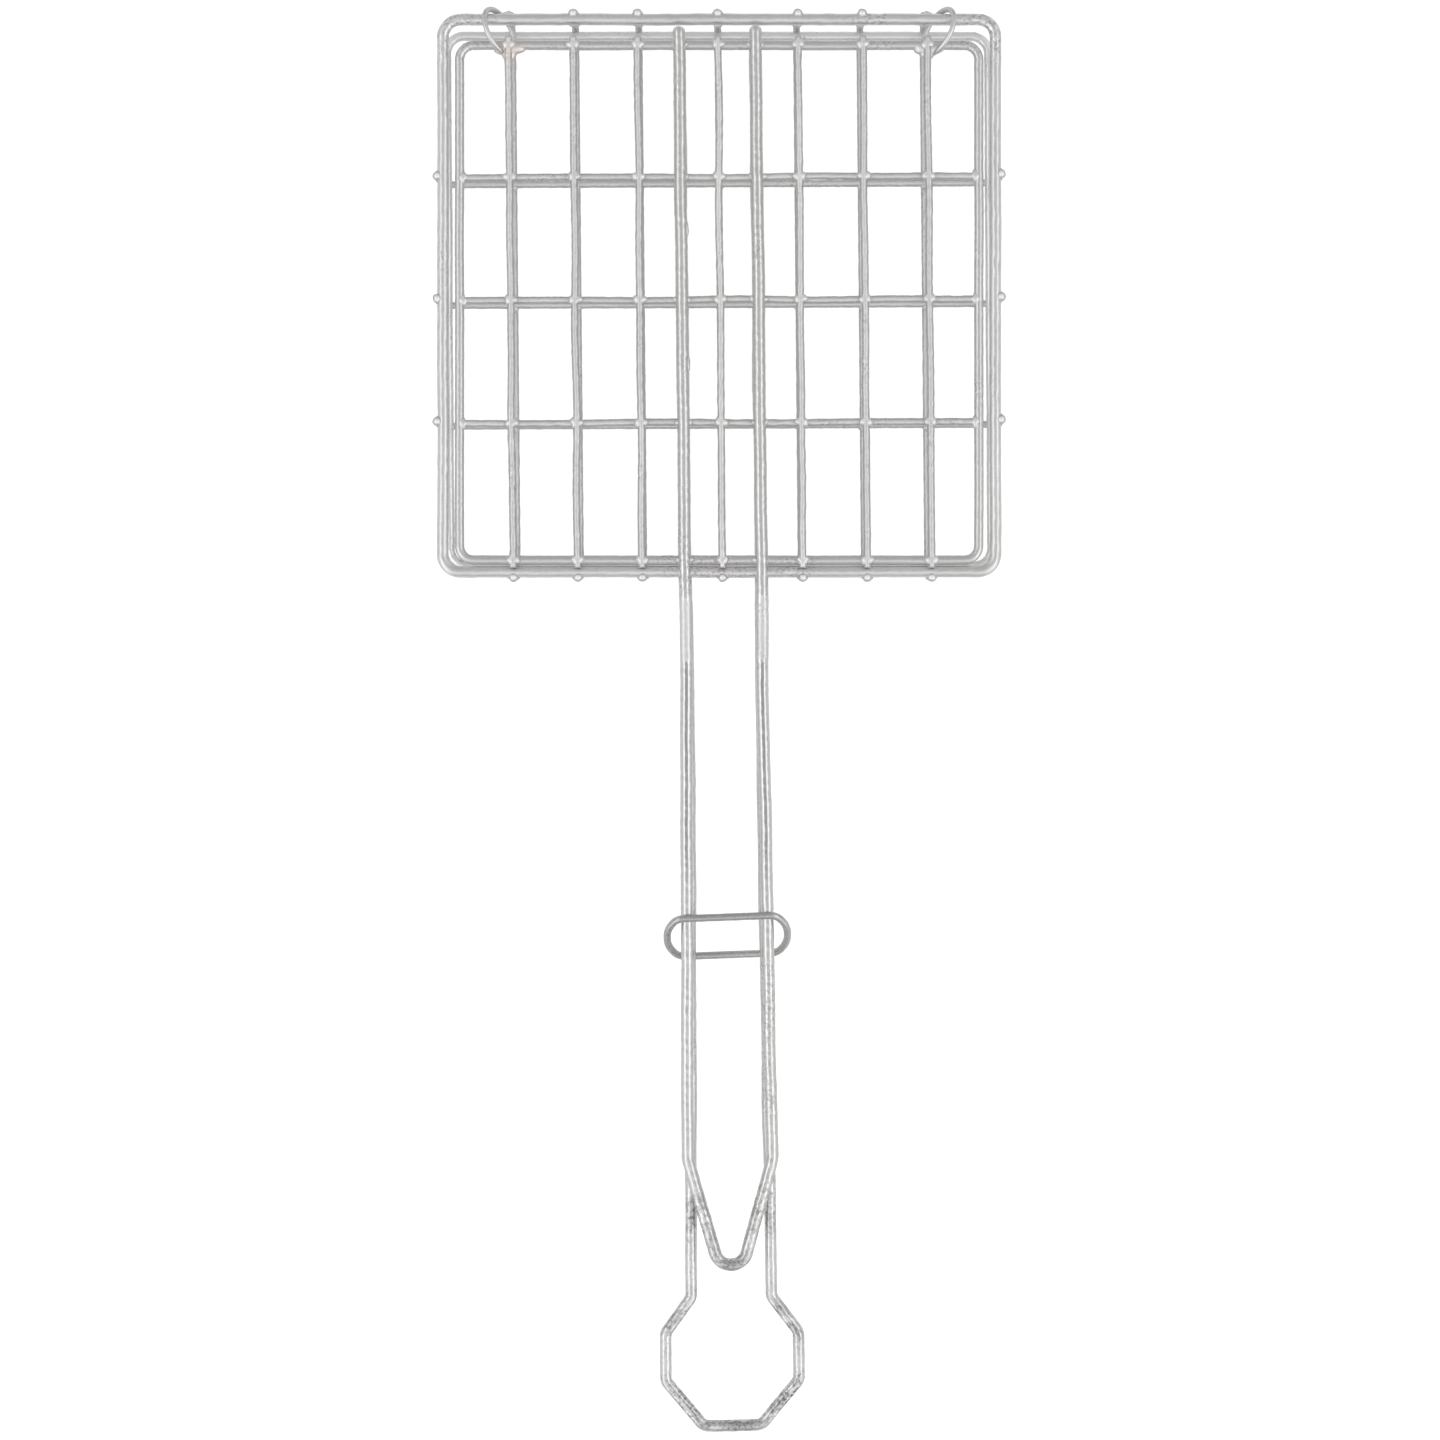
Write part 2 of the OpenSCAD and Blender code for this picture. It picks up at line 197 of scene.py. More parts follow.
@dataclass(frozen=True)
class PlatedWire:
    """Worn bright plating on drawn steel wire.

    The plating is mottled, with bright flecks and dark pits that gather in worn
    stretches. Its upper side is lightened by a painted highlight, as a share of the
    colour, and it takes a warm tint near one hinge ring, where the wire has been hot.
    A thin painted dark streak, a painted reflection, can run along the top of the
    wire, and patches near the handled places can be darkened.
    """

    name: str
    base: Colour
    roughness: float
    metal: float = 1.0
    # Painted highlight on the upward-facing side of the wire, as a share of the colour.
    top_highlight: float = 0.0
    mottling: float = 0.10
    marks: float = 0.10
    relief: float = 0.3
    # Painted reflection: a thin dark streak along the top of the wire, strongest near the middle in Y given below.
    painted_dark_streak: float = 0.0
    dark_streak_middle: float = -16 * MM
    warm: Colour = (0.82, 0.72, 0.65, 1.0)
    rosy: Colour = (0.74, 0.70, 0.715, 1.0)
    green: Colour = (0.73, 0.745, 0.67, 1.0)
    heat_places: tuple[Place, ...] = ()
    heat_reach: float = 12 * MM
    worn_places: tuple[Place, ...] = ()
    worn_reach: float = 22 * MM
    # Darkening in patches near the handled places.
    handled_darkening: float = 0.0

    def material(self) -> bpy.types.Material:
        """Returns the finish as a material.

        Returns:
            A material whose colour, roughness and bump follow the unrolled wire.
        """
        material = bpy.data.materials.new(self.name)
        material.use_nodes = True
        shade = Shade(material.node_tree)
        unrolled = shade.node("ShaderNodeAttribute", {"attribute_name": UNROLLED}, {}).outputs["Vector"]
        coordinates = shade.node("ShaderNodeTexCoord", {}, {})
        place = coordinates.outputs["Object"]
        facing = shade.node("ShaderNodeSeparateXYZ", {}, {0: coordinates.outputs["Normal"]})
        # Mask of the upward-facing side, which takes the painted highlight.
        upper = Signal(shade, facing.outputs[2]).above(0.78, 0.99)

        grain = shade.noise(unrolled, 700.0, 1.0)
        flecks = shade.noise(shade.scaled(unrolled, (1.0, 1.0, 0.7)), 1000.0, 1.0)
        drawn = shade.noise(shade.scaled(unrolled, (1.0, 1.0, 0.03)), 1500.0, 1.0)
        broad = shade.noise(place, 24.0, 2.0)
        worn = broad.above(0.57, 0.69) * 0.8
        handled = broad * 0.0
        for spot in self.worn_places:
            handled = handled + shade.near(place, spot, self.worn_reach)
        worn = worn + handled
        bright = flecks.above(0.54, 0.66)
        pits = 1.0 - flecks.above(0.34, 0.46)

        tone = 1.0 + (grain - 0.5) * self.mottling * 2.0 + (drawn - 0.5) * self.marks * 2.0
        # Flecks and pits, then a painted highlight that lightens the upward-facing side.
        tone = tone + (bright * 0.16 - pits * 0.30) * (0.12 + worn) + upper * self.top_highlight
        # Darker patches near the handled places.
        patches = shade.noise(place, 190.0, 1.0).above(0.40, 0.58)
        tone = tone - handled * patches * self.handled_darkening
        # Painted reflection: a thin dark streak along the top, near the given middle in Y.
        from_middle = Signal(shade, shade.node("ShaderNodeSeparateXYZ", {}, {0: place}).outputs[1]) - self.dark_streak_middle
        top = Signal(shade, facing.outputs[2]).above(0.955, 0.985)
        tone = tone - top * self.painted_dark_streak * (1.0 - (from_middle * from_middle).above(0.0012, 0.0035))
        rosy = shade.noise(place, 21.0, 2.0).above(0.52, 0.66)
        colour = shade.mixed(rosy * 0.3, self.base, self.rosy)
        greenish = shade.noise(shade.scaled(place, (1.0, 0.35, 1.0)), 17.0, 1.0).above(0.55, 0.68)
        colour = shade.mixed(greenish * 0.25, colour, self.green)
        for spot in self.heat_places:
            heat = shade.near(place, spot, self.heat_reach) * grain.above(0.3, 0.6)
            colour = shade.mixed(heat * 0.8, colour, self.warm)
        grey = shade.node("ShaderNodeCombineColor", {}, {0: tone, 1: tone, 2: tone})
        colour = shade.mixed(1.0, colour, grey.outputs[0], "MULTIPLY")

        rough = self.roughness + (grain - 0.5) * 0.08 + pits * worn * 0.12
        height = (grain * 0.6 + flecks * 0.5) * (0.06 + worn) + drawn * 0.03
        bump = shade.node(
            "ShaderNodeBump", {}, {"Strength": self.relief, "Distance": 0.3 * MM, "Height": height}
        )
        surface = shade.node(
            "ShaderNodeBsdfPrincipled",
            {},
            {
                "Base Color": colour,
                "Metallic": self.metal,
                "Roughness": rough,
                "Normal": bump.outputs[0],
            },
        )
        shade.node("ShaderNodeOutputMaterial", {}, {"Surface": surface.outputs[0]})
        return material


def unit(vectors: np.ndarray) -> np.ndarray:
    """Returns the vectors scaled to length one along their last axis."""
    return vectors / np.linalg.norm(vectors, axis=-1, keepdims=True)


def rounded_path(
    corners: Sequence[Sequence[float]], radii: Sequence[float], step: float, closed: bool = False
) -> np.ndarray:
    """Returns the middle line of a wire bent at the corners.

    Each straight is sampled evenly. Each bend is an arc about a middle that lies one
    radius to the inner side of where the arc starts: point(a) = middle - r cos(a) side
    + r sin(a) into, for a from 0 to the turn.

    Args:
        corners: the corners of the line.
        radii: the bend radius at each corner; the ends of an open line have none.
        step: the distance between points.
        closed: whether the line returns to its first corner.

    Returns:
        An array of points, without a repeated last point on a closed line.
    """
    points = np.array(corners, float)
    count = len(points)
    stretches: list[np.ndarray] = []
    leave: list[np.ndarray] = []
    arcs: list[np.ndarray] = []
    for i in range(count):
        q = points[i]
        if not closed and i in (0, count - 1):
            arcs.append(q[None])
            continue
        into = unit(q - points[i - 1])
        out = unit(points[(i + 1) % count] - q)
        turn = math.acos(float(np.clip(into @ out, -1.0, 1.0)))
        start = q - into * radii[i] * math.tan(turn / 2)
        side = unit(out - (out @ into) * into)
        angles = np.linspace(0.0, turn, max(3, int(radii[i] * turn / (step * 0.6)) + 2))[:, None]
        middle = start + side * radii[i]
        arcs.append(middle - radii[i] * np.cos(angles) * side + radii[i] * np.sin(angles) * into)
    for i in range(count):
        stretches.append(arcs[i])
        if i == count - 1 and not closed:
            break
        a = arcs[i][-1]
        b = arcs[(i + 1) % count][0]
        inner = np.linspace(0.0, 1.0, max(2, int(np.linalg.norm(b - a) / step) + 2))[1:-1, None]
        stretches.append(a + inner * (b - a))
    return np.concatenate(stretches)


def run_lengths(path: np.ndarray, closed: bool) -> tuple[np.ndarray, float]:
    """Returns the distance of each point from the first one along the path, and the length."""
    ahead = np.roll(path, -1, axis=0) if closed else path[1:]
    steps = np.linalg.norm(ahead - path[: len(ahead)], axis=1)
    lengths = np.concatenate([[0.0], np.cumsum(steps)])
    return lengths[: len(path)], float(lengths[-1])


@dataclass
class Wave:
    """How far a hand-made wire strays from its true middle line."""

    amount: float = 0.22 * MM
    shortest: float = 38 * MM
    longest: float = 130 * MM
    count: int = 5

    def along(self, s: np.ndarray, length: float, closed: bool, rng: np.random.Generator) -> np.ndarray:
        """Returns the sideways stray at each distance s, as a sum of a few sines.

        A closed wire takes whole numbers of waves, so that its ends meet, and an open
        wire's stray fades to nothing at its ends.
        """
        waves = rng.uniform(self.shortest, self.longest, self.count)
        turns = np.maximum(1.0, np.round(length / waves)) if closed else length / waves
        phases = rng.uniform(0.0, 2 * math.pi, self.count)
        sizes = self.amount * rng.uniform(0.4, 1.0, self.count) / math.sqrt(self.count)
        stray = (sizes * np.sin(2 * math.pi * np.outer(s / length, turns) + phases)).sum(axis=1)
        if closed:
            return stray
        fade = 8 * MM
        return stray * np.clip(s / fade, 0, 1) * np.clip((length - s) / fade, 0, 1)


@dataclass
class WireTube:
    """A round wire carried along a middle line.

    A point of the surface is path(s) + r(s, a) (cos(a) side + sin(a) over), where side
    is square to the run and to a fixed reference, and over is square to both. The
    radius r has low lumps in the plating, a sum of sines in s and a.
    """

    path: np.ndarray
    radius: float
    reference: np.ndarray
    closed: bool = False
    sides: int = 20
    wave: Wave = field(default_factory=Wave)
    lumps: float = 0.018
    lump_count: int = 9
    end_dome: float = 0.45
    swell: Any = 1.0

    def surface(self, seed: int) -> tuple[np.ndarray, list[Sequence[int]], np.ndarray]:
        """Works out the whole surface.

        Args:
            seed: the start of this wire's own random draws.

        Returns:
            The points, the faces, and the unrolled place of each point.
        """
        rng = np.random.default_rng(seed)
        s, length = run_lengths(self.path, self.closed)
        path = self.path
        if self.closed:
            run = unit(np.roll(path, -1, axis=0) - np.roll(path, 1, axis=0))
        else:
            run = unit(np.gradient(path, axis=0))
        side = unit(np.cross(self.reference, run))
        over = np.cross(run, side)
        path = path + side * self.wave.along(s, length, self.closed, rng)[:, None]

        angles = np.linspace(0.0, 2 * math.pi, self.sides, endpoint=False)
        turns = np.round(length / rng.uniform(2.4 * MM, 14 * MM, self.lump_count))
        around = rng.integers(0, 4, self.lump_count)
        phases = rng.uniform(0.0, 2 * math.pi, self.lump_count)
        grid = 2 * math.pi * s[:, None, None] / length * turns + angles[None, :, None] * around + phases
        lump = np.sin(grid).sum(axis=2) * self.lumps / math.sqrt(self.lump_count)
        radius = self.radius * (1.0 + lump) * self.swell

        centre = path
        if not self.closed:
            cap = np.linspace(0.0, math.pi / 2, 6)[1:-1]
            dome = self.radius * self.end_dome
            first = [centre[0] + run[0] * dome * (1 - np.sin(a)) for a in cap[::-1]]
            last = [centre[-1] - run[-1] * dome * (1 - np.sin(a)) for a in cap]
            inside = (s > dome * 1.05) & (s < length - dome * 1.05)
            narrow = np.cos(cap)[:, None]
            centre = np.concatenate([first, centre[inside], last])
            radius = np.concatenate([
                radius[:1] * narrow[::-1], radius[inside], radius[-1:] * narrow,
            ])
            side = np.concatenate([np.repeat(side[:1], len(cap), 0), side[inside], np.repeat(side[-1:], len(cap), 0)])
            over = np.concatenate([np.repeat(over[:1], len(cap), 0), over[inside], np.repeat(over[-1:], len(cap), 0)])
            s = np.concatenate([dome * (1 - np.sin(cap[::-1])), s[inside], length - dome * (1 - np.sin(cap))])

        ring = np.stack([np.cos(angles), np.sin(angles)], axis=1)
        spread = radius[..., None] * (ring[None, :, :1] * side[:, None] + ring[None, :, 1:] * over[:, None])
        points = (centre[:, None] + spread).reshape(-1, 3)
        flat = np.empty((len(centre), self.sides, 3))
        flat[..., :2] = radius[..., None] * ring
        flat[..., 2] = s[:, None]
        flat = flat.reshape(-1, 3)

        rows = len(centre)
        row = np.arange(rows if self.closed else rows - 1)[:, None]
        col = np.arange(self.sides)[None]
        nxt_row = (row + 1) % rows
        nxt_col = (col + 1) % self.sides
        quads = np.stack([
            row * self.sides + col, row * self.sides + nxt_col,
            nxt_row * self.sides + nxt_col, nxt_row * self.sides + col,
        ], axis=-1).reshape(-1, 4)
        faces: list[Sequence[int]] = quads.tolist()
        if not self.closed:
            tips = np.stack([path[0], path[-1]])
            points = np.concatenate([points, tips])
            flat = np.concatenate([flat, [[0.0, 0.0, 0.0], [0.0, 0.0, length]]])
            tip = rows * self.sides
            col = np.arange(self.sides)
            nxt = (col + 1) % self.sides
            far = (rows - 1) * self.sides
            faces += np.stack([nxt, col, np.full_like(col, tip)], axis=1).tolist()
            faces += np.stack([far + col, far + nxt, np.full_like(col, tip + 1)], axis=1).tolist()
        return points, faces, flat


class Body(Enum):
    """The bodies that move apart."""

    BASKET = "basket"
    LID = "lid"
    CLIP = "clip"


def make_piece(
    name: str,
    surface: tuple[np.ndarray, list[Sequence[int]], np.ndarray],
    material: bpy.types.Material,
    body: Body,
    nodes: Sequence[str] = (),
) -> bpy.types.Object:
    """Makes an object of a surface and fixes it to its body.

    Args:
        name: the piece's name.
        surface: the points, the faces and the unrolled place of each point.
        material: the finish.
        body: the body that it moves with.
        nodes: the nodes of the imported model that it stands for.

    Returns:
        The new object.
    """
    points, faces, flat = surface
    mesh = bpy.data.meshes.new(name)
    mesh.from_pydata(points.tolist(), [], faces)
    attribute = mesh.attributes.new(UNROLLED, "FLOAT_VECTOR", "POINT")
    attribute.data.foreach_set("vector", flat.astype(np.float32).ravel())
    mesh.polygons.foreach_set("use_smooth", np.ones(len(mesh.polygons), bool))
    mesh.materials.append(material)
    mesh.update()
    piece = bpy.data.objects.new(name, mesh)
    bpy.context.scene.collection.objects.link(piece)
    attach(piece, body.value)
    if nodes:
        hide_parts(*nodes)
    LOG.info("%s rides on %s with %d faces", name, body.value, len(faces))
    return piece


@dataclass
class NodeBox:
    """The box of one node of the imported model."""

    low: np.ndarray
    high: np.ndarray

    @classmethod
    def of(cls, node: str) -> "NodeBox":
        """Returns the box of the named node."""
        low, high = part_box(node)
        return cls(np.array(low), np.array(high))

    @property
    def centre(self) -> np.ndarray:
        """The middle of the box."""
        return (self.low + self.high) / 2

    @property
    def half(self) -> np.ndarray:
        """Half of the box's size."""
        return (self.high - self.low) / 2


@dataclass
class Wires:
    """The wire sizes and steps that all the pieces share."""

    rim: float = 5 * MM
    ring: float = 4 * MM
    mesh: float = 3 * MM
    handle: float = 5 * MM
    clip: float = 3.2 * MM
    hinge: float = 2.2 * MM
    step: float = 0.7 * MM
    rim_bend: float = 7.5 * MM
    lid_bend: float = 6 * MM
    mesh_bend: float = 4.5 * MM
    count: int = 7
    cross_count: int = 3


def ring_path(box: NodeBox, wire: float, bend: float, step: float) -> np.ndarray:
    """Returns the middle line of a closed flat ring that fills a box."""
    reach = box.half - wire / 2
    corners = box.centre + reach * np.array([[1, 1, 0], [-1, 1, 0], [-1, -1, 0], [1, -1, 0]])
    return rounded_path(corners, [bend] * 4, step, closed=True)


def lean_of(box: NodeBox, along: int, wire: float) -> np.ndarray:
    """Returns half of the run of a slightly leaning wire that fills a box, as a vector.

    Both sets of wires are turned the same way, so a wire along Y leans to -X at its
    far end and one along X leans to +Y at its right end.
    """
    reach = np.zeros(3)
    across = 1 - along
    reach[along] = box.half[along] - wire / 2
    reach[across] = (box.half[across] - wire / 2) * (1 if along == 0 else -1)
    return reach


@dataclass
class StraightRun:
    """The line in plan of one straight mesh wire or handle leg, for placing welds."""

    middle: np.ndarray
    reach: np.ndarray

    def crossing(self, other: "StraightRun") -> np.ndarray:
        """Returns where two lines cross in plan, by solving m1 + a r1 = m2 + b r2."""
        matrix = np.stack([self.reach[:2], -other.reach[:2]], axis=1)
        a, _ = np.linalg.solve(matrix, other.middle[:2] - self.middle[:2])
        return (self.middle + a * self.reach)[:2]


@dataclass
class Welds:
    """The melted beads where wires cross.

    Each bead is a low rounded pad: centre + size (cos(v) cos(u), cos(v) sin(u), sin(v)),
    with its outline drawn out along both wires by cos(4u) and swollen by a few sines.
    """

    spots: list[tuple[np.ndarray, np.ndarray, float]] = field(default_factory=list)
    around: int = 24
    rows: int = 9
    unevenness: float = 0.09

    def add(self, place: Sequence[float], size: Sequence[float], star: float = 0.0) -> None:
        """Adds one bead at a place, with three half sizes in millimetres and its pull along the wires."""
        self.spots.append((np.array(place, float), np.array(size, float) * MM, star))

    def surface(self, seed: int) -> tuple[np.ndarray, list[Sequence[int]], np.ndarray]:
        """Works out all beads at once.

        Args:
            seed: the start of the random draws.

        Returns:
            The points, the faces, and the unrolled place of each point.
        """
        rng = np.random.default_rng(seed)
        centres = np.array([c for c, _, _ in self.spots])
        sizes = np.array([s for _, s, _ in self.spots])
        stars = np.array([p for _, _, p in self.spots])[:, None, None]
        total = len(centres)
        u = np.linspace(0, 2 * math.pi, self.around, endpoint=False)[None, None]
        v = np.linspace(-math.pi / 2, math.pi / 2, self.rows + 2)[1:-1][None, :, None]
        swell = 1.0 + stars * (np.cos(4 * u) - 1.0) / 2 * np.cos(v)
        for k in (2, 3, 5):
            phase = rng.uniform(0, 2 * math.pi, (total, 1, 1))
            size = rng.uniform(0.3, 1.0, (total, 1, 1)) * self.unevenness
            swell = swell + size * np.sin(k * u + phase) * np.cos(v)
        shape = np.stack([
            swell * np.cos(v) * np.cos(u), swell * np.cos(v) * np.sin(u),
            np.broadcast_to(np.sin(v), swell.shape),
        ], axis=-1)
        points = centres[:, None, None] + shape * sizes[:, None, None]
        poles = centres[:, None] + sizes[:, None] * np.array([[0, 0, -1.0], [0, 0, 1.0]])
        body = self.rows * self.around
        block = body + 2
        every = np.concatenate([points.reshape(total, body, 3), poles], axis=1)
        row = np.arange(self.rows - 1)[:, None]
        col = np.arange(self.around)[None]
        nxt = (col + 1) % self.around
        quads = np.stack([
            row * self.around + col, row * self.around + nxt,
            (row + 1) * self.around + nxt, (row + 1) * self.around + col,
        ], axis=-1).reshape(-1, 4)
        top = (self.rows - 1) * self.around
        flat_col = col[0]
        flat_nxt = nxt[0]
        bottom_fan = np.stack([flat_nxt, flat_col, np.full_like(flat_col, body)], axis=1)
        top_fan = np.stack([top + flat_col, top + flat_nxt, np.full_like(flat_col, body + 1)], axis=1)
        shift = (np.arange(total) * block)[:, None, None]
        faces: list[Sequence[int]] = (quads[None] + shift).reshape(-1, 4).tolist()
        fans = np.concatenate([bottom_fan, top_fan])
        faces += (fans[None] + shift).reshape(-1, 3).tolist()
        points = every.reshape(-1, 3)
        return points, faces, points.copy()


@dataclass
class HandleShape:
    """The sizes that both handles share, measured from the middle of the basket."""

    middle: np.ndarray
    shift: float = 0.4 * MM
    lean: float = math.radians(0.65)
    spacing: float = 32.5 * MM
    far_end: float = 113.8 * MM
    crank_start: float = 129 * MM
    crank_end: float = 155 * MM
    crank_bend: float = 10 * MM

    def placed(self, corners: Sequence[Sequence[float]]) -> np.ndarray:
        """Returns the corners turned by the lean and moved to the basket's middle."""
        c, s = math.cos(self.lean), math.sin(self.lean)
        turn = np.array([[c, -s, 0], [s, c, 0], [0, 0, 1]])
        start = np.array([self.middle[0] + self.shift, self.middle[1], 0.0])
        return np.array(corners, float) @ turn.T + start

    def leg(self, side: int) -> StraightRun:
        """Returns the line of one leg over the basket; side is -1 for the left one."""
        ends = self.placed([
            (side * self.spacing / 2, self.far_end, 0), (side * self.spacing / 2, -self.crank_start, 0),
        ])
        return StraightRun((ends[0] + ends[1]) / 2, (ends[0] - ends[1]) / 2)


@dataclass
class Basket:
    """The lower half: the rim, the bottom ring, the turned-up mesh and the handle."""

    wires: Wires
    shape: HandleShape
    rim_finish: bpy.types.Material
    ring_finish_lifted_for_shade: bpy.types.Material
    mesh_finish: bpy.types.Material
    handle_finish: bpy.types.Material
    weld_finish: bpy.types.Material
    dome_finish: bpy.types.Material
    neck: float = 427.6 * MM
    neck_spacing: float = 34.4 * MM
    loop_length: float = 55.2 * MM
    loop_width: float = 57 * MM
    shoulder: float = 15.2 * MM
    loop_side: float = 20.8 * MM
    loop_end: float = 24.9 * MM
    loop_bend: float = 5 * MM
    end_set: float = 1.1 * MM
    left_bow: float = 1.05 * MM
    right_bow: float = 0.7 * MM
    ring_set: float = 1.5 * MM
    slopes: tuple[float, float] = (0.9 * MM, 2.2 * MM)
    seed: int = 100

    def build(self) -> None:
        """Builds every piece of the basket."""
        self.rings()
        runs = self.mesh()
        self.handle()
        self.welds(*runs)

    def rings(self) -> None:
        """Builds the rim and the bottom ring."""
        w = self.wires
        kinds = (("rim_ring", w.rim, self.rim_finish), ("bottom_ring", w.ring, self.ring_finish_lifted_for_shade))
        for i, (node, wire, finish) in enumerate(kinds):
            box = NodeBox.of(node)
            path = ring_path(box, wire, w.rim_bend, w.step)
            if node == "bottom_ring":
                far = np.clip((path[:, 1] - box.low[1]) / (2 * box.half[1]), 0.0, 1.0)
                across = path[:, 0] / box.half[0]
                path[:, 0] -= self.ring_set * np.where(across > 0, far, 1.0 - far) * across
            tube = WireTube(path, wire / 2, UP, closed=True, sides=24, wave=Wave(0.12 * MM))
            make_piece(f"plated_{node}", tube.surface(self.seed + i), finish,
                       Body.BASKET, [node])

    def upturned(self, node: str, along: int, seed: int) -> StraightRun:
        """Builds one mesh wire that turns up at both ends; along is 0 for X and 1 for Y."""
        w = self.wires
        box = NodeBox.of(node)
        reach = lean_of(box, along, w.mesh)
        low = box.low[2] + w.mesh / 2
        top = box.high[2]
        base = np.array([box.centre[0], box.centre[1], low])
        rise = np.array([0, 0, top - low])
        inward = unit(reach) * self.end_set
        slope = unit(reach) * self.slopes[along]
        corners = [
            base + reach + rise - inward, base + reach - slope, base - reach + slope,
            base - reach + rise + inward,
        ]
        path = rounded_path(corners, [0, w.mesh_bend, w.mesh_bend, 0], w.step)
        across = np.array([1.0, 0, 0]) if along == 1 else np.array([0, 1.0, 0])
        tube = WireTube(path, w.mesh / 2, across, sides=18, wave=Wave(0.05 * MM), lumps=0.04)
        make_piece(f"plated_{node}", tube.surface(seed), self.mesh_finish,
                   Body.BASKET, [node])
        return StraightRun(base, reach)

    def mesh(self) -> tuple[list[StraightRun], list[StraightRun]]:
        """Builds the mesh and returns the lines of its long and cross wires."""
        longs = [
            self.upturned(f"basket_long_wire_{i + 1}", 1, self.seed + 10 + i)
            for i in range(self.wires.count)
        ]
        crosses = [
            self.upturned(f"basket_cross_wire_{i + 1}", 0, self.seed + 20 + i)
            for i in range(self.wires.cross_count)
        ]
        return longs, crosses

    def handle(self) -> None:
        """Builds the lower handle with its hanging loop."""
        w = self.wires
        h = self.shape
        box = NodeBox.of("basket_handle")
        low = box.low[2] + w.handle / 2
        grip = box.high[2] - w.handle / 2
        half = [
            (-h.spacing / 2, h.far_end, low), (-h.spacing / 2, -h.crank_start, low),
            (-h.spacing / 2, -h.crank_end, grip), (-self.neck_spacing / 2, -self.neck, grip),
            (-self.loop_width / 2, -self.neck - self.shoulder, grip),
            (-self.loop_width / 2, -self.neck - self.shoulder - self.loop_side, grip),
            (-self.loop_end / 2, -self.neck - self.loop_length, grip),
        ]
        bends = [0, h.crank_bend, h.crank_bend] + [self.loop_bend] * 4
        corners = half + [(-x, y, z) for x, y, z in reversed(half)]
        path = rounded_path(corners, bends + bends[::-1], w.step)
        share = np.clip((-h.crank_start - path[:, 1]) / (self.neck - h.crank_start), 0.0, 1.0)
        bow = np.where(path[:, 0] < 0, -self.left_bow, self.right_bow)
        path[:, 0] -= bow * np.sin(math.pi * np.sqrt(share))
        tube = WireTube(h.placed(path), w.handle / 2, UP, sides=24, wave=Wave(0.2 * MM), end_dome=0.9)
        make_piece("plated_basket_handle", tube.surface(self.seed + 30), self.handle_finish,
                   Body.BASKET, ["basket_handle"])

    def welds(self, longs: list[StraightRun], crosses: list[StraightRun]) -> None:
        """Adds the beads of the mesh, the rim and the handle."""
        w = self.wires
        beads = Welds()
        domes = Welds(unevenness=0.04)
        top = NodeBox.of("basket_cross_wire_1").low[2] + w.mesh / 2
        rim = NodeBox.of("rim_ring")
        ring = NodeBox.of("bottom_ring")
        for number, line in enumerate(longs):
            for cross in crosses:
                beads.add([*line.crossing(cross), top - 0.5 * MM], (3.1, 3.1, 1.7), 0.24)
            for sign in (-1, 1):
                end = line.middle + sign * line.reach
                beads.add([end[0], rim.centre[1] + sign * rim.half[1], rim.centre[2] - 0.3 * MM],
                          (2.6, 0.9, 1.6))
                beads.add([end[0] * 0.99, rim.centre[1] + sign * (rim.half[1] - w.rim * 0.8), rim.low[2] + 0.6 * MM],
                          (2.3, 1.7, 1.2))
                beads.add([end[0], ring.centre[1] + sign * (ring.half[1] - w.ring / 2), ring.low[2] + 0.4 * MM],
                          (3.0, 2.6, 1.2), 0.3)
                if sign < 0 or 0 < number < w.count - 1:
                    domes.add([end[0], end[1] - sign * 0.8 * MM, self.end_height], (2.1, 2.0, 1.8))
        for cross in crosses:
            for sign in (-1, 1):
                end = cross.middle + sign * cross.reach
                beads.add([rim.centre[0] + sign * rim.half[0], end[1], rim.centre[2] - 0.3 * MM],
                          (0.9, 2.6, 1.6))
                beads.add([sign * (ring.half[0] - w.ring / 2), end[1], ring.low[2] + 0.4 * MM],
                          (2.6, 3.0, 1.2), 0.3)
                domes.add([end[0] - sign * 0.8 * MM, end[1], self.end_height], (2.0, 2.1, 1.8))
            for side in (-1, 1):
                spot = cross.crossing(self.shape.leg(side))
                beads.add([*spot, NodeBox.of("basket_handle").low[2] + w.handle], (2.6, 2.3, 0.8))
        make_piece("basket_welds", beads.surface(self.seed + 40), self.weld_finish,
                   Body.BASKET)
        make_piece("basket_wire_domes", domes.surface(self.seed + 41), self.dome_finish,
                   Body.BASKET)

    @property
    def end_height(self) -> float:
        """The height of the middle of the rounded wire ends."""
        return float(NodeBox.of("basket_long_wire_1").high[2]) - 0.3 * MM


